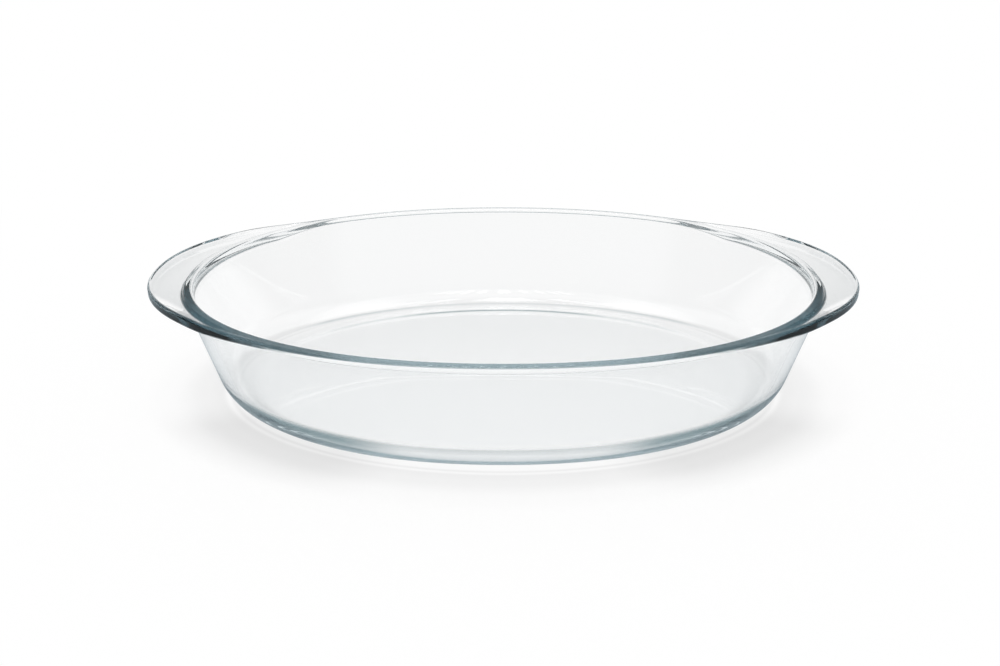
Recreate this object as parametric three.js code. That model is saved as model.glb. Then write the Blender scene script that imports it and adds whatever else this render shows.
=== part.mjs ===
// Oval baking dish: one pressing of clear glass, with a crescent handle growing out of the rim at each end.
// Millimetres, +Z up, +X along the dish. The origin is on the table, under the middle of the dish.
import * as THREE from "three";

// Overall sizes
const LENGTH = 350; // over both handles
const WIDTH = 240; // over the rim, across the middle
const HEIGHT = 61.5; // table to the top of the handles

// Basin
const WALL = 4.8; // glass thickness, square to the wall
const FLOOR = 6; // table to the inside floor
const FLARE = THREE.MathUtils.degToRad(16.1); // lean of the wall from upright
const HEEL_RADIUS = 22.3; // outside, where the wall turns into the base
const MOUTH_POWER = 2.11; // 2 makes an ellipse, more makes the ends blunter

// Lip: the raised top of the wall, round the whole mouth
const LIP_INSIDE = 2.6; // crest line to the inner wall, at the top
const LIP_RADIUS = 2; // inner edge
const LIP_OUTSIDE = 0.6; // crest line to where the lip starts to fall
const LIP_FALL = 2; // run of its outer face, down to the handle's dish

// Rim: the lip's outer edge along the sides
const RIM_REACH = 2.2; // crest line to the outer edge
const RIM_EDGE = 3.2; // height of the outer edge
const EDGE_TOP_RADIUS = 1.4;
const EDGE_LOW_RADIUS = 0.9;
const RIM_FILLET = 0.5; // under the rim, against the wall

// Handles: the rim widens into a dished grip that turns up towards its edge
const HANDLE_REACH = 19.2; // crest line to the outer edge, at the ends
const HANDLE_EDGE = 4.2; // height of the outer edge
const HANDLE_RISE = 1.5; // the edge stands this much above the lip
const RISE_GROWTH = 9; // the edge has its full height once the grip is this much wider than the rim
const HANDLE_INSET = 7.2; // the handles' oval is narrower than the mouth's by this on each side
const HANDLE_POWER = 2.15;
const HANDLE_BLEND = 8; // eases the handle's outline into the rim's
const GRIP_GROWTH = 6; // the grip has its full dish once it is this much wider than the rim
const DISH_DEPTH = 2.4; // lip's crest down to the dished top of the grip
const GRIP_CURVE = 1.4; // 1 makes the dished top straight, more makes it turn up late
const GRIP_DROP = 3.6; // the grip's underside falls this much from its edge to the wall
const HANDLE_FILLET = 5;

// Mesh fineness
const ROUND_STEPS = 96; // round the oval
const HEEL_STEPS = 7;
const EDGE_STEPS = 4;
const CROWN_STEPS = 12; // across the top of the rim and handle
const CROWN_CROWDING = 1.5; // over 1 sets these steps closer together near the lip

const LIP_HEIGHT = HEIGHT - HANDLE_RISE;
const MOUTH_HALF_LENGTH = LENGTH / 2 - HANDLE_REACH;
const MOUTH_HALF_WIDTH = WIDTH / 2 - RIM_REACH;
const HANDLE_HALF_WIDTH = MOUTH_HALF_WIDTH - HANDLE_INSET;

const { clamp, lerp, smoothstep } = THREE.MathUtils;

// The crest line of the lip is an oval in plan; every section of the dish is set out from it.
function crestPoint(angle) {
  const c = Math.cos(angle);
  const s = Math.sin(angle);
  return new THREE.Vector2(
    MOUTH_HALF_LENGTH * Math.sign(c) * Math.abs(c) ** (2 / MOUTH_POWER),
    MOUTH_HALF_WIDTH * Math.sign(s) * Math.abs(s) ** (2 / MOUTH_POWER),
  );
}

function crestNormal({ x, y }) {
  const slope = (v, half) => (Math.sign(v) * Math.abs(v / half) ** (MOUTH_POWER - 1)) / half;
  return new THREE.Vector2(slope(x, MOUTH_HALF_LENGTH), slope(y, MOUTH_HALF_WIDTH)).normalize();
}

// Distance along the normal from the crest line to the oval that the two handles share, found by halving.
function handleReach(crest, normal) {
  const beyond = ({ x, y }) =>
    Math.abs((2 * x) / LENGTH) ** HANDLE_POWER + Math.abs(y / HANDLE_HALF_WIDTH) ** HANDLE_POWER > 1;
  let low = -MOUTH_HALF_WIDTH / 2;
  let high = 2 * HANDLE_REACH;
  for (let i = 0; i < 40; i++) {
    const middle = (low + high) / 2;
    if (beyond(crest.clone().addScaledVector(normal, middle))) high = middle;
    else low = middle;
  }
  return low;
}

// The larger of two lengths, eased where they are within HANDLE_BLEND of each other.
function easedMax(a, b) {
  const closeness = Math.max(HANDLE_BLEND - Math.abs(a - b), 0) / HANDLE_BLEND;
  return Math.max(a, b) + (closeness ** 3 * HANDLE_BLEND) / 6;
}

// Arc that rounds the corner between two straight stretches of a section.
function roundCorner(before, corner, after, radius, steps) {
  const back = before.clone().sub(corner).normalize();
  const on = after.clone().sub(corner).normalize();
  const halfAngle = Math.acos(back.dot(on)) / 2;
  const centre = corner
    .clone()
    .addScaledVector(back.clone().add(on).normalize(), radius / Math.sin(halfAngle));
  const tangent = radius / Math.tan(halfAngle);
  const start = corner.clone().addScaledVector(back, tangent).sub(centre).angle();
  const end = corner.clone().addScaledVector(on, tangent).sub(centre).angle();
  const clockwise = back.cross(on) > 0;
  return new THREE.EllipseCurve(centre.x, centre.y, radius, radius, start, end, clockwise).getPoints(steps);
}

// Section of the glass where the rim reaches this far out, from the inside floor over the rim to the flat base.
// A point's x is its distance out from the crest line and its y is its height.
function section(reach) {
  const at = (x, y) => new THREE.Vector2(x, y);
  const grip = smoothstep(reach, RIM_REACH, RIM_REACH + GRIP_GROWTH);
  const innerWall = (height) => -LIP_INSIDE - (LIP_HEIGHT - height) * Math.tan(FLARE);
  const outerWall = (height) => innerWall(height) + WALL / Math.cos(FLARE);

  const innerHeel = at(innerWall(FLOOR), FLOOR);
  const lipCorner = at(innerWall(LIP_HEIGHT), LIP_HEIGHT);
  const inside = [
    ...roundCorner(at(-MOUTH_HALF_WIDTH, FLOOR), innerHeel, lipCorner, HEEL_RADIUS - WALL, HEEL_STEPS),
    ...roundCorner(innerHeel, lipCorner, at(0, LIP_HEIGHT), LIP_RADIUS, EDGE_STEPS),
  ];

  const edgeCrest = reach - EDGE_TOP_RADIUS;
  const lift = HANDLE_RISE * smoothstep(reach, RIM_REACH, RIM_REACH + RISE_GROWTH);
  const crownHeight = (x) => {
    const fall = smoothstep(x, LIP_OUTSIDE, LIP_OUTSIDE + LIP_FALL);
    const rise = clamp((x - LIP_OUTSIDE) / (edgeCrest - LIP_OUTSIDE), 0, 1) ** GRIP_CURVE;
    return LIP_HEIGHT + lerp(-DISH_DEPTH * grip * fall, lift, rise);
  };
  const crown = Array.from({ length: CROWN_STEPS }, (_, i) => {
    const x = edgeCrest * (i / CROWN_STEPS) ** CROWN_CROWDING;
    return at(x, crownHeight(x));
  });

  const edgeTop = crownHeight(edgeCrest);
  const edgeLow = edgeTop - lerp(RIM_EDGE, HANDLE_EDGE, grip);
  const grippedLow = edgeLow - GRIP_DROP * grip;
  const edgeTopCorner = at(reach, edgeTop);
  const edgeLowCorner = at(reach, edgeLow);
  const root = at(outerWall(grippedLow), grippedLow);
  const outerHeel = at(outerWall(0), 0);
  const fillet = lerp(RIM_FILLET, HANDLE_FILLET, grip);
  const outside = [
    ...roundCorner(at(edgeCrest, edgeTop), edgeTopCorner, edgeLowCorner, EDGE_TOP_RADIUS, EDGE_STEPS),
    ...roundCorner(edgeTopCorner, edgeLowCorner, root, EDGE_LOW_RADIUS, EDGE_STEPS),
    ...roundCorner(edgeLowCorner, root, outerHeel, fillet, EDGE_STEPS),
    ...roundCorner(root, outerHeel, at(-MOUTH_HALF_WIDTH, 0), HEEL_RADIUS, HEEL_STEPS),
  ];
  return [...inside, ...crown, ...outside];
}

// Skin over the sections set round the oval, closed by a fan to the middle of the floor and of the base.
function dishGeometry() {
  const positions = [];
  let stations = 0;
  for (let j = 0; j < ROUND_STEPS; j++) {
    const crest = crestPoint((2 * Math.PI * j) / ROUND_STEPS);
    const normal = crestNormal(crest);
    const points = section(easedMax(RIM_REACH, handleReach(crest, normal)));
    stations = points.length;
    for (const point of points) {
      const plan = crest.clone().addScaledVector(normal, point.x);
      positions.push(plan.x, plan.y, point.y);
    }
  }
  const floorMiddle = positions.push(0, 0, FLOOR) / 3 - 1;
  const baseMiddle = positions.push(0, 0, 0) / 3 - 1;

  const index = [];
  for (let j = 0; j < ROUND_STEPS; j++) {
    const here = j * stations;
    const next = ((j + 1) % ROUND_STEPS) * stations;
    for (let i = 0; i < stations - 1; i++) {
      index.push(here + i, here + i + 1, next + i);
      index.push(here + i + 1, next + i + 1, next + i);
    }
    index.push(floorMiddle, here, next);
    index.push(baseMiddle, next + stations - 1, here + stations - 1);
  }
  const geometry = new THREE.BufferGeometry();
  geometry.setAttribute("position", new THREE.Float32BufferAttribute(positions, 3));
  geometry.setIndex(index);
  geometry.computeVertexNormals();
  return geometry;
}

const clearGlass = new THREE.MeshStandardMaterial({
  name: "clear_glass",
  color: 0xdcebea,
  roughness: 0.05,
  metalness: 0,
  transparent: true,
  opacity: 0.35,
});

const glassDish = new THREE.Mesh(dishGeometry(), clearGlass);
glassDish.name = "glass_dish";

const dish = new THREE.Group();
dish.add(glassDish);

export default dish;
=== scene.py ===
"""Oval baking dish in clear pressed glass, on a pale studio floor. Metres, +Z up, +X along the dish."""
import itertools
import math
from collections import namedtuple

import bmesh
import bpy
import numpy as np
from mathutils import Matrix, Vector


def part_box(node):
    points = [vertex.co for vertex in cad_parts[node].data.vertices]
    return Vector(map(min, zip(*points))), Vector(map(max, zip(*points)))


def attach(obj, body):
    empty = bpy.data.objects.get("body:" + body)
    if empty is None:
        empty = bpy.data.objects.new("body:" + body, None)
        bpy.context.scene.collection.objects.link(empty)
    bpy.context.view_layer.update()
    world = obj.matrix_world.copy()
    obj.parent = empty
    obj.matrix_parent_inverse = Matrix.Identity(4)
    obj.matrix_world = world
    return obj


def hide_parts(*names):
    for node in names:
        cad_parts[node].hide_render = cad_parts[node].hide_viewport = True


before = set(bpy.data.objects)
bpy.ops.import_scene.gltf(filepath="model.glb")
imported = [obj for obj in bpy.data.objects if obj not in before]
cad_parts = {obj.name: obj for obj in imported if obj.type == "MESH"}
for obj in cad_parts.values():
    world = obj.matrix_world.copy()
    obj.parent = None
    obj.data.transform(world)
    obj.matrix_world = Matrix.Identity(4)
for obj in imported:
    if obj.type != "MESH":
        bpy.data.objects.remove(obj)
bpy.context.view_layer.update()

# Overall sizes, from the frame
dish_low, dish_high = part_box("glass_dish")
LENGTH, WIDTH, HEIGHT = dish_high - dish_low

# Basin
WALL = 0.0048  # glass thickness, square to the wall
FLOOR = 0.006  # table to the inside floor
FLARE = math.radians(16.1)  # lean of the wall from upright
HEEL_RADIUS = 0.0223  # outside, where the wall turns into the base
MOUTH_POWER = 2.11  # 2 makes an ellipse, more makes the ends blunter

# Lip: the raised top of the wall
LIP_INSIDE = 0.0026  # crest line to the inner wall, at the top
LIP_RADIUS = 0.002  # inner edge
LIP_OUTSIDE = 0.0006  # crest line to where the lip starts to fall
LIP_FALL = 0.002  # run of its outer face, down to the handle's dish

# Rim: the lip's outer edge along the sides
RIM_REACH = 0.0022  # crest line to the outer edge
RIM_EDGE = 0.0032  # height of the outer edge
EDGE_TOP_RADIUS = 0.0014
EDGE_LOW_RADIUS = 0.0009
RIM_FILLET = 0.0005  # under the rim, against the wall

# Handles: the rim widens into a dished grip that turns up towards its edge
HANDLE_REACH = 0.0192  # crest line to the outer edge, at the ends
HANDLE_EDGE = 0.0042  # height of the outer edge
HANDLE_RISE = 0.0015  # the edge stands this much above the lip
RISE_GROWTH = 0.009  # the edge has its full height once the grip is this much wider than the rim
HANDLE_INSET = 0.0072  # the handles' oval is narrower than the mouth's by this on each side
HANDLE_POWER = 2.15
HANDLE_BLEND = 0.008  # eases the handle's outline into the rim's
GRIP_GROWTH = 0.006  # the grip has its full dish once it is this much wider than the rim
DISH_DEPTH = 0.0024  # lip's crest down to the dished top of the grip
GRIP_CURVE = 1.4  # 1 makes the dished top straight, more makes it turn up late
GRIP_DROP = 0.0036  # the grip's underside falls this much from its edge to the wall
HANDLE_FILLET = 0.005

LIP_HEIGHT = HEIGHT - HANDLE_RISE
MOUTH_HALF_LENGTH = LENGTH / 2 - HANDLE_REACH
MOUTH_HALF_WIDTH = WIDTH / 2 - RIM_REACH
HANDLE_HALF_WIDTH = MOUTH_HALF_WIDTH - HANDLE_INSET

# Mesh fineness
ROUND_STEPS = 480
HEEL_STEPS = 28
WALL_STEPS = 10
EDGE_STEPS = 12
CROWN_STEPS = 40  # across the top of the rim and handle
FLAT_RINGS = (0.5, 0.9, 0.98)  # rings across the inside floor and the base, as shares of their size
HALVINGS = 40
MERGE_DISTANCE = 1e-7

# Glass
REFRACTION = 1.49
POLISH_SCALE = 35
POLISH_DETAIL = 2
ROUGHNESS = (0, 0.02)
WAVE_SCALE = 18
WAVE_DETAIL = 1
WAVE_STRENGTH = 0.1
WAVE_HEIGHT = 0.0002
TINT_COLOUR = (0.35, 0.54, 0.6, 1)
TINT_DENSITY = 4
BOUNCES = 64

# Camera and picture
PICTURE_WIDTH = 1000
FOCAL_PIXELS = 961
SENSOR_WIDTH = 36
CAMERA_TARGET = Vector((-0.0016, 0, 0.02493))
CAMERA_DISTANCE = 0.5
CAMERA_ELEVATION = math.radians(22.51)

WHITE = (1, 1, 1, 1)
BLACK = (0, 0, 0, 1)

# Floor: a place is told by its distance out in plan, where 1 is an oval just outside the flat base
FLOOR_SIZE = 12
FLOOR_GAP = 0.0003
OVAL_HALF_LENGTH = 0.1265
OVAL_HALF_WIDTH = 0.0875
FLOOR_GLOW = 1.25
BRIGHTNESS_REACH = 2
# Floor level by distance out: painted light under the base, two painted shadow lines with a painted pale line
# between just outside it, and a soft painted shadow that fades out
FLOOR_LEVELS_WITH_PAINTED_SHADOW = (
    (0, 0.87),
    (0.97, 0.87),
    (1.07, 0.79),
    (1.1, 0.79),
    (1.118, 0.7),
    (1.132, 0.78),
    (1.155, 0.7),
    (1.22, 0.72),
    (1.36, 0.785),
    (1.5, 0.8),
)
SHADOW_SHARE = 0.1  # of the floor near the dish that takes real light and shadow
SHADOW_FADE = (5, 1.2)

# Painted rings of shade and light on the floor: distances over which the inner and the outer edge ease, and
# the strength on the middle of the dish's side and on its flanks
PaintedRing = namedtuple("PaintedRing", "inside outside levels")
# Painted shade under the near heel, and painted shadow lines at the far heel and at the contact, seen only
# through the glass
PAINTED_NEAR_HEEL_SHADE_MIDDLE = PaintedRing((1.09, 1.14), (1.24, 1.15), (0.3, 0))
PAINTED_NEAR_HEEL_SHADE_FLANK = PaintedRing((1.03, 1.12), (1.24, 1.15), (0, 0.9))
PAINTED_FAR_HEEL_SHADE = PaintedRing((1.12, 1.15), (1.19, 1.16), (0.2, 0.32))
PAINTED_FAR_CONTACT_SHADOW = PaintedRing((0.975, 0.995), (1.02, 1), (0.8, 0.2))
# Painted light beyond the far heel, seen only through the glass
PAINTED_FAR_LIGHT = PaintedRing((1.18, 1.23), (1.5, 1.38), (0, 0.7))
# Soft painted shadow at the near flanks of the dish, for all rays
PAINTED_NEAR_SHADOW = PaintedRing((1, 1.04), (1.5, 1.25), (0, 0.13))
# Colour of the painted shade
PAINTED_SHADE_COLOUR = (0.12, 0.2, 0.22, 1)
# Colour of the painted light
PAINTED_LIGHT_COLOUR = (0.88, 0.88, 0.88, 1)
# Colour the floor is painted in reflections, a painted dim reflection
PAINTED_REFLECTION_COLOUR = (0.27, 0.32, 0.35, 1)

# Where the painted rings change, by how far a place turns towards the ends of the dish, and by its Y
FLANK = (0.3, 0.55)
NEAR_END = (0.97, 0.85)
FAR_END = (0.84, 0.7)
FAR_SIDE = (-0.3, 0.3)

# Room: sine of the elevation, and how far a direction turns towards the ends of the dish
BAND_COLOUR = (0.33, 0.36, 0.37, 1)
BAND_BOTTOM = (0.1, 0.2)
BAND_DIP = 0.1
BAND_DIP_SIDE = (0.35, 0.6)
BAND_TOP = (0.87, 0.79)
CARD_COLOUR = (0.02, 0.03, 0.035, 1)
CARD_SIDE = (0.72, 0.9)
SMALLEST_RUN = 1e-4  # keeps the turn finite straight overhead

# Lamps
LAMP_COUNT = 9
LAMP_ROWS = (0.36, -0.44)
LAMP_PITCH = 0.048
LAMP_WIDTH = 0.02
LAMP_LENGTH = 0.3
LAMP_HEIGHT = 1.2
LAMP_STRENGTH = 5

# The Mix node's sockets for colours come after those for numbers and vectors
MIX_COLOURS_IN = (6, 7)
MIX_COLOUR_OUT = 2


def smoothstep(x, start, end):
    t = min(max((x - start) / (end - start), 0), 1)
    return t * t * (3 - 2 * t)


def lerp(a, b, t):
    return a + (b - a) * t


def crest_point(angle):
    """A point of the lip's crest line, an oval in plan."""
    c, s = math.cos(angle), math.sin(angle)
    return np.array([
        MOUTH_HALF_LENGTH * math.copysign(abs(c) ** (2 / MOUTH_POWER), c),
        MOUTH_HALF_WIDTH * math.copysign(abs(s) ** (2 / MOUTH_POWER), s),
    ])


def crest_normal(crest):
    """The outward direction in plan, square to the crest line."""
    halves = np.array([MOUTH_HALF_LENGTH, MOUTH_HALF_WIDTH])
    slope = np.sign(crest) * np.abs(crest / halves) ** (MOUTH_POWER - 1) / halves
    return slope / np.linalg.norm(slope)


def handle_reach(crest, normal):
    """Distance along the normal from the crest line to the handles' shared oval, found by halving."""
    low, high = -MOUTH_HALF_WIDTH / 2, 2 * HANDLE_REACH
    for _ in range(HALVINGS):
        middle = (low + high) / 2
        x, y = crest + normal * middle
        beyond = abs(2 * x / LENGTH) ** HANDLE_POWER + abs(y / HANDLE_HALF_WIDTH) ** HANDLE_POWER > 1
        low, high = (low, middle) if beyond else (middle, high)
    return low


def eased_max(a, b):
    """The larger of two lengths, eased where they are within HANDLE_BLEND of each other."""
    closeness = max(HANDLE_BLEND - abs(a - b), 0) / HANDLE_BLEND
    return max(a, b) + closeness**3 * HANDLE_BLEND / 6


def straight(start, end, steps):
    """Points between two points of a section, without the two."""
    return [lerp(np.array(start), np.array(end), i / steps) for i in range(1, steps)]


def round_corner(before, corner, after, radius, steps):
    """Arc that rounds the corner between two straight stretches of a section."""
    before, corner, after = np.array(before), np.array(corner), np.array(after)
    back = (before - corner) / np.linalg.norm(before - corner)
    on = (after - corner) / np.linalg.norm(after - corner)
    half_angle = math.acos(np.dot(back, on)) / 2
    bisector = (back + on) / np.linalg.norm(back + on)
    centre = corner + bisector * radius / math.sin(half_angle)
    tangent = radius / math.tan(half_angle)
    start = corner + back * tangent - centre
    end = corner + on * tangent - centre
    start_angle = math.atan2(start[1], start[0])
    turn = math.atan2(start[0] * end[1] - start[1] * end[0], np.dot(start, end))
    return [
        centre + radius * np.array([math.cos(a), math.sin(a)])
        for a in np.linspace(start_angle, start_angle + turn, steps + 1)
    ]


def section(reach):
    """Section of the glass where the rim reaches this far out, from the inside floor over the rim to the flat
    base. Each point has its distance out from the crest line and its height."""
    grip = smoothstep(reach, RIM_REACH, RIM_REACH + GRIP_GROWTH)

    def inner_wall(height):
        return -LIP_INSIDE - (LIP_HEIGHT - height) * math.tan(FLARE)

    def outer_wall(height):
        return inner_wall(height) + WALL / math.cos(FLARE)

    inner_heel = (inner_wall(FLOOR), FLOOR)
    lip_corner = (inner_wall(LIP_HEIGHT), LIP_HEIGHT)
    heel = round_corner((-MOUTH_HALF_WIDTH, FLOOR), inner_heel, lip_corner, HEEL_RADIUS - WALL, HEEL_STEPS)
    lip = round_corner(inner_heel, lip_corner, (0, LIP_HEIGHT), LIP_RADIUS, EDGE_STEPS)
    inside = [*heel, *straight(heel[-1], lip[0], WALL_STEPS), *lip]

    edge_crest = reach - EDGE_TOP_RADIUS
    lift = HANDLE_RISE * smoothstep(reach, RIM_REACH, RIM_REACH + RISE_GROWTH)

    def crown_height(x):
        fall = smoothstep(x, LIP_OUTSIDE, LIP_OUTSIDE + LIP_FALL)
        rise = min(max((x - LIP_OUTSIDE) / (edge_crest - LIP_OUTSIDE), 0), 1) ** GRIP_CURVE
        return LIP_HEIGHT + lerp(-DISH_DEPTH * grip * fall, lift, rise)

    crown_xs = np.linspace(0, edge_crest, CROWN_STEPS, endpoint=False)
    crown = [np.array([x, crown_height(x)]) for x in crown_xs]

    edge_top = crown_height(edge_crest)
    edge_low = edge_top - lerp(RIM_EDGE, HANDLE_EDGE, grip)
    gripped_low = edge_low - GRIP_DROP * grip
    root = (outer_wall(gripped_low), gripped_low)
    outer_heel = (outer_wall(0), 0)
    top_corner, low_corner = (reach, edge_top), (reach, edge_low)
    fillet_radius = lerp(RIM_FILLET, HANDLE_FILLET, grip)
    over_edge = round_corner((edge_crest, edge_top), top_corner, low_corner, EDGE_TOP_RADIUS, EDGE_STEPS)
    under_edge = round_corner(top_corner, low_corner, root, EDGE_LOW_RADIUS, EDGE_STEPS)
    fillet = round_corner(low_corner, root, outer_heel, fillet_radius, EDGE_STEPS)
    outer_arc = round_corner(root, outer_heel, (-MOUTH_HALF_WIDTH, 0), HEEL_RADIUS, HEEL_STEPS)
    outside = [
        *over_edge,
        *under_edge,
        *straight(under_edge[-1], fillet[0], WALL_STEPS),
        *fillet,
        *straight(fillet[-1], outer_arc[0], WALL_STEPS),
        *outer_arc,
    ]
    return [*inside, *crown, *outside]


def finished_mesh(name, built):
    mesh = bpy.data.meshes.new(name)
    built.to_mesh(mesh)
    built.free()
    return mesh


def add_object(name, data):
    made = bpy.data.objects.new(name, data)
    bpy.context.scene.collection.objects.link(made)
    return made


def dish_mesh():
    """Closed skin over the sections set round the oval."""
    rows = []
    for j in range(ROUND_STEPS):
        crest = crest_point(2 * math.pi * j / ROUND_STEPS)
        normal = crest_normal(crest)
        points = section(eased_max(RIM_REACH, handle_reach(crest, normal)))
        row = [(*(crest + normal * x), height) for x, height in points]
        floor_row = [(row[0][0] * share, row[0][1] * share, FLOOR) for share in FLAT_RINGS]
        base_row = [(row[-1][0] * share, row[-1][1] * share, 0) for share in reversed(FLAT_RINGS)]
        rows.append([*floor_row, *row, *base_row])

    built = bmesh.new()
    grid = [[built.verts.new(point) for point in row] for row in rows]
    floor_middle = built.verts.new((0, 0, FLOOR))
    base_middle = built.verts.new((0, 0, 0))
    for j, row in enumerate(grid):
        following = grid[(j + 1) % ROUND_STEPS]
        for i in range(len(row) - 1):
            built.faces.new((row[i], row[i + 1], following[i + 1], following[i]))
        built.faces.new((floor_middle, row[0], following[0]))
        built.faces.new((base_middle, following[-1], row[-1]))
    bmesh.ops.remove_doubles(built, verts=built.verts, dist=MERGE_DISTANCE)
    bmesh.ops.recalc_face_normals(built, faces=built.faces)
    for face in built.faces:
        face.smooth = True
    return finished_mesh("dish_glass", built)


def noise_node(tree, scale, detail):
    """Output of a noise that stays with the object."""
    coordinates = tree.nodes.new("ShaderNodeTexCoord")
    noise = tree.nodes.new("ShaderNodeTexNoise")
    noise.inputs["Scale"].default_value = scale
    noise.inputs["Detail"].default_value = detail
    tree.links.new(coordinates.outputs["Object"], noise.inputs["Vector"])
    return noise.outputs["Fac"]


def glass_material():
    """Clear pressed glass with a blue-green tint in depth, faint waviness and uneven polish."""
    material = bpy.data.materials.new("clear_glass")
    material.use_nodes = True
    tree = material.node_tree
    shader = tree.nodes["Principled BSDF"]
    shader.inputs["Base Color"].default_value = WHITE
    shader.inputs["Transmission Weight"].default_value = 1
    shader.inputs["IOR"].default_value = REFRACTION

    roughness = tree.nodes.new("ShaderNodeMapRange")
    roughness.inputs["To Min"].default_value, roughness.inputs["To Max"].default_value = ROUGHNESS
    tree.links.new(noise_node(tree, POLISH_SCALE, POLISH_DETAIL), roughness.inputs["Value"])
    tree.links.new(roughness.outputs["Result"], shader.inputs["Roughness"])

    bump = tree.nodes.new("ShaderNodeBump")
    bump.inputs["Strength"].default_value = WAVE_STRENGTH
    bump.inputs["Distance"].default_value = WAVE_HEIGHT
    tree.links.new(noise_node(tree, WAVE_SCALE, WAVE_DETAIL), bump.inputs["Height"])
    tree.links.new(bump.outputs["Normal"], shader.inputs["Normal"])

    tint = tree.nodes.new("ShaderNodeVolumeAbsorption")
    tint.inputs["Color"].default_value = TINT_COLOUR
    tint.inputs["Density"].default_value = TINT_DENSITY
    tree.links.new(tint.outputs["Volume"], tree.nodes["Material Output"].inputs["Volume"])
    return material


def math_node(tree, operation, *values):
    """Output of a math node fed by numbers or by other sockets."""
    node = tree.nodes.new("ShaderNodeMath")
    node.operation = operation
    for socket, value in zip(node.inputs, values):
        if isinstance(value, (int, float)):
            socket.default_value = value
        else:
            tree.links.new(value, socket)
    return node.outputs["Value"]


def step_node(tree, value, low, high):
    """Output that eases from 0 to 1 while the value goes from low to high. It eases from 1 to 0 if low is
    above high."""
    node = tree.nodes.new("ShaderNodeMapRange")
    node.interpolation_type = "SMOOTHSTEP"
    node.inputs["From Min"].default_value = min(low, high)
    node.inputs["From Max"].default_value = max(low, high)
    node.inputs["To Min"].default_value = float(low > high)
    node.inputs["To Max"].default_value = float(low < high)
    tree.links.new(value, node.inputs["Value"])
    return node.outputs["Result"]


def mix_colours(tree, factor, first, second):
    """Output of a mix of two colours, each a constant or a socket."""
    node = tree.nodes.new("ShaderNodeMix")
    node.data_type = "RGBA"
    tree.links.new(factor, node.inputs["Factor"])
    for place, colour in zip(MIX_COLOURS_IN, (first, second)):
        if isinstance(colour, tuple):
            node.inputs[place].default_value = colour
        else:
            tree.links.new(colour, node.inputs[place])
    return node.outputs[MIX_COLOUR_OUT]


def empty_material(name):
    """A material without nodes yet, and its node tree."""
    material = bpy.data.materials.new(name)
    material.use_nodes = True
    material.node_tree.nodes.clear()
    return material, material.node_tree


def glow_node(tree, strength):
    glow = tree.nodes.new("ShaderNodeEmission")
    glow.inputs["Strength"].default_value = strength
    return glow


def finish_surface(tree, shader):
    output = tree.nodes.new("ShaderNodeOutputMaterial")
    tree.links.new(shader, output.inputs["Surface"])


def place_on_floor(tree):
    """Outputs for the distance out in plan, and for X and Y in the same measure."""
    coordinates = tree.nodes.new("ShaderNodeTexCoord")
    oval = tree.nodes.new("ShaderNodeVectorMath")
    oval.operation = "DIVIDE"
    oval.inputs[1].default_value = (OVAL_HALF_LENGTH, OVAL_HALF_WIDTH, 1)
    tree.links.new(coordinates.outputs["Object"], oval.inputs[0])
    out = tree.nodes.new("ShaderNodeVectorMath")
    out.operation = "LENGTH"
    tree.links.new(oval.outputs["Vector"], out.inputs[0])
    parts = tree.nodes.new("ShaderNodeSeparateXYZ")
    tree.links.new(oval.outputs["Vector"], parts.inputs["Vector"])
    return out.outputs["Value"], parts.outputs["X"], parts.outputs["Y"]


def floor_levels_with_painted_shadow(tree, distance):
    """Output of the floor's brightness round the dish, the same on all its sides: painted light under the
    base, then painted shadow lines and a soft painted shadow just outside it.
    """
    levels = tree.nodes.new("ShaderNodeValToRGB")
    tree.links.new(math_node(tree, "DIVIDE", distance, BRIGHTNESS_REACH), levels.inputs["Fac"])
    ramp = levels.color_ramp
    ramp.interpolation = "EASE"
    while len(ramp.elements) < len(FLOOR_LEVELS_WITH_PAINTED_SHADOW):
        ramp.elements.new(1)
    for element, (place, level) in zip(ramp.elements, FLOOR_LEVELS_WITH_PAINTED_SHADOW):
        element.position = place / BRIGHTNESS_REACH
        element.color = (level, level, level, 1)
    return levels.outputs["Color"]


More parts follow.
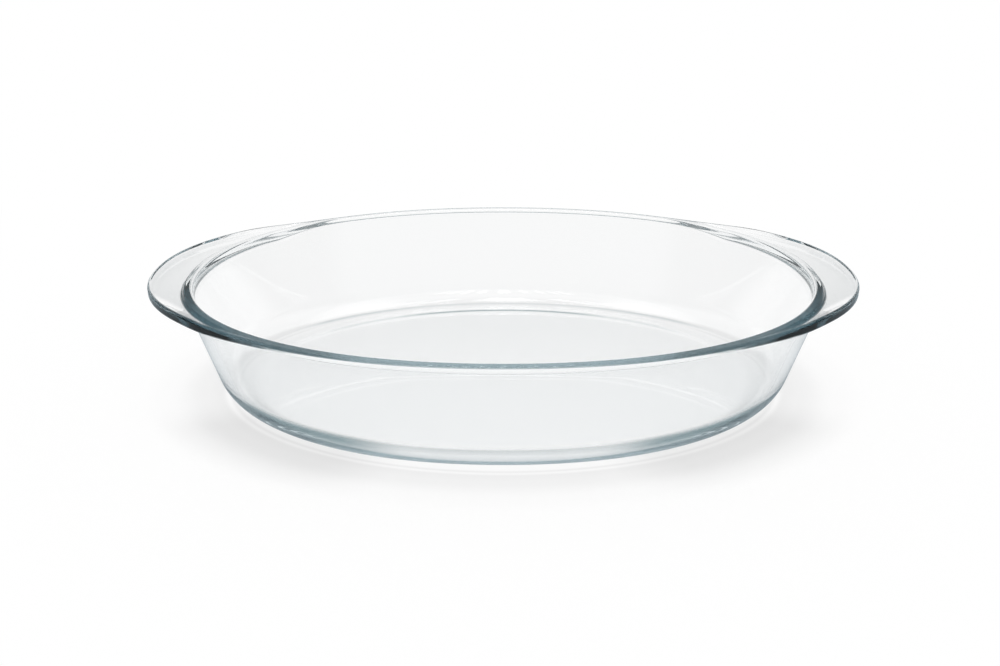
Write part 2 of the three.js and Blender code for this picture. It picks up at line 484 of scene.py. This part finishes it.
def floor_colour(tree, distance, x, y):
    """Output of the floor's colour, with painted shadow and light. A soft shadow is painted at the flanks of
    the dish. Through glass, the floor also has painted shade under the heel and painted light behind it, and
    in reflections it is one dim painted colour."""
    endwards = math_node(tree, "DIVIDE", math_node(tree, "ABSOLUTE", x), distance)
    flank = step_node(tree, endwards, *FLANK)
    far = step_node(tree, y, *FAR_SIDE)
    near = math_node(tree, "SUBTRACT", 1, far)
    near_side = math_node(tree, "MULTIPLY", near, step_node(tree, endwards, *NEAR_END))
    far_side = math_node(tree, "MULTIPLY", far, step_node(tree, endwards, *FAR_END))

    # Strength of one painted ring of shade or light at each place on one side of the floor
    def painted_ring_strength(ring, side):
        at_middle, at_flank = ring.levels
        level = math_node(tree, "MULTIPLY_ADD", flank, at_flank - at_middle, at_middle)
        inner = step_node(tree, distance, *ring.inside)
        outer = step_node(tree, distance, *ring.outside)
        across = math_node(tree, "MULTIPLY", inner, outer)
        return math_node(tree, "MULTIPLY", math_node(tree, "MULTIPLY", level, across), side)

    path = tree.nodes.new("ShaderNodeLightPath")
    through_glass = path.outputs["Is Transmission Ray"]
    # Painted shade under the heel and painted contact shadow lines, only through the glass
    near_shade = math_node(
        tree, "ADD", painted_ring_strength(PAINTED_NEAR_HEEL_SHADE_MIDDLE, near_side), painted_ring_strength(PAINTED_NEAR_HEEL_SHADE_FLANK, near_side)
    )
    far_shade = math_node(
        tree, "ADD", painted_ring_strength(PAINTED_FAR_HEEL_SHADE, far_side), painted_ring_strength(PAINTED_FAR_CONTACT_SHADOW, far_side)
    )
    shade = math_node(tree, "MULTIPLY", math_node(tree, "ADD", near_shade, far_shade), through_glass)
    # Painted light beyond the far heel, only through the glass
    light = math_node(tree, "MULTIPLY", painted_ring_strength(PAINTED_FAR_LIGHT, far), through_glass)

    # Floor brightness, with its painted light and painted shadow lines
    colour = floor_levels_with_painted_shadow(tree, distance)
    # Soft painted shadow at the near flanks
    colour = mix_colours(tree, painted_ring_strength(PAINTED_NEAR_SHADOW, near_side), colour, BLACK)
    colour = mix_colours(tree, light, colour, PAINTED_LIGHT_COLOUR)
    colour = mix_colours(tree, shade, colour, PAINTED_SHADE_COLOUR)
    # Painted dim colour of the floor in reflections
    return mix_colours(tree, path.outputs["Is Reflection Ray"], colour, PAINTED_REFLECTION_COLOUR)


def floor_material():
    """Pale glowing floor with painted shadow and light rings, which takes a share of real light and shadow
    near the dish.
    """
    material, tree = empty_material("studio_floor")
    distance, x, y = place_on_floor(tree)
    glow = glow_node(tree, FLOOR_GLOW)
    tree.links.new(floor_colour(tree, distance, x, y), glow.inputs["Color"])
    matt = tree.nodes.new("ShaderNodeBsdfDiffuse")
    matt.inputs["Color"].default_value = WHITE

    share = math_node(tree, "MULTIPLY", step_node(tree, distance, *SHADOW_FADE), SHADOW_SHARE)
    mix = tree.nodes.new("ShaderNodeMixShader")
    tree.links.new(share, mix.inputs["Fac"])
    tree.links.new(glow.outputs["Emission"], mix.inputs[1])
    tree.links.new(matt.outputs["BSDF"], mix.inputs[2])
    finish_surface(tree, mix.outputs["Shader"])
    return material


def floor_mesh():
    built = bmesh.new()
    bmesh.ops.create_grid(built, x_segments=1, y_segments=1, size=FLOOR_SIZE / 2)
    return finished_mesh("floor", built)


def studio_world():
    """White room for the camera and the floor. The glass sees it white overhead and low down, with a dim band
    between that is nearly dark beyond both ends of the dish."""
    world = bpy.data.worlds.new("studio")
    bpy.context.scene.world = world
    world.use_nodes = True
    tree = world.node_tree
    coordinates = tree.nodes.new("ShaderNodeTexCoord")
    parts = tree.nodes.new("ShaderNodeSeparateXYZ")
    tree.links.new(coordinates.outputs["Generated"], parts.inputs["Vector"])
    x, z = parts.outputs["X"], parts.outputs["Z"]
    run = math_node(tree, "SQRT", math_node(tree, "SUBTRACT", 1, math_node(tree, "MULTIPLY", z, z)))
    run = math_node(tree, "MAXIMUM", run, SMALLEST_RUN)
    endwards = math_node(tree, "DIVIDE", math_node(tree, "ABSOLUTE", x), run)

    dim = mix_colours(tree, step_node(tree, endwards, *CARD_SIDE), BAND_COLOUR, CARD_COLOUR)
    dip = math_node(tree, "MULTIPLY", step_node(tree, endwards, *BAND_DIP_SIDE), BAND_DIP)
    above = step_node(tree, math_node(tree, "ADD", z, dip), *BAND_BOTTOM)
    band = math_node(tree, "MULTIPLY", above, step_node(tree, z, *BAND_TOP))
    room = mix_colours(tree, band, WHITE, dim)

    path = tree.nodes.new("ShaderNodeLightPath")
    by_glass = math_node(tree, "MAXIMUM", path.outputs["Is Glossy Ray"], path.outputs["Is Transmission Ray"])
    not_by_floor = math_node(tree, "LESS_THAN", path.outputs["Diffuse Depth"], 1)
    seen = math_node(tree, "MULTIPLY", by_glass, not_by_floor)
    tree.links.new(mix_colours(tree, seen, WHITE, room), tree.nodes["Background"].inputs["Color"])


def lamp_material():
    material, tree = empty_material("studio_lamp")
    finish_surface(tree, glow_node(tree, LAMP_STRENGTH).outputs["Emission"])
    return material


def lamps_mesh():
    """Rows of strip lamps, side by side along the dish."""
    built = bmesh.new()
    corners = ((-1, -1), (-1, 1), (1, 1), (1, -1))
    for row, i in itertools.product(LAMP_ROWS, range(LAMP_COUNT)):
        middle = (i - (LAMP_COUNT - 1) / 2) * LAMP_PITCH
        built.faces.new([
            built.verts.new((middle + x * LAMP_WIDTH / 2, row + y * LAMP_LENGTH / 2, 0)) for x, y in corners
        ])
    return finished_mesh("lamp_rows", built)


def add_camera():
    camera = add_object("camera", bpy.data.cameras.new("camera"))
    camera.data.sensor_width = SENSOR_WIDTH
    camera.data.lens = SENSOR_WIDTH * FOCAL_PIXELS / PICTURE_WIDTH
    towards = Vector((0, math.cos(CAMERA_ELEVATION), -math.sin(CAMERA_ELEVATION)))
    camera.location = CAMERA_TARGET - towards * CAMERA_DISTANCE
    camera.rotation_euler = towards.to_track_quat("-Z", "Y").to_euler()
    bpy.context.scene.camera = camera


# The dish
dish = add_object("dish_glass", dish_mesh())
dish.data.materials.append(glass_material())
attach(dish, "root")
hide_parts("glass_dish")

# The floor, just under the dish
floor = add_object("floor", floor_mesh())
floor.location.z = -FLOOR_GAP
floor.data.materials.append(floor_material())

# The lamps overhead, seen only as reflections
lamps = add_object("lamps", lamps_mesh())
lamps.location.z = LAMP_HEIGHT
lamps.visible_camera = False
lamps.visible_diffuse = False
lamps.visible_transmission = False
lamps.data.materials.append(lamp_material())

# The room and the picture
studio_world()
add_camera()
scene = bpy.context.scene
scene.view_settings.view_transform = "Standard"
scene.cycles.use_denoising = True
scene.cycles.max_bounces = BOUNCES
scene.cycles.transmission_bounces = BOUNCES
scene.cycles.glossy_bounces = BOUNCES
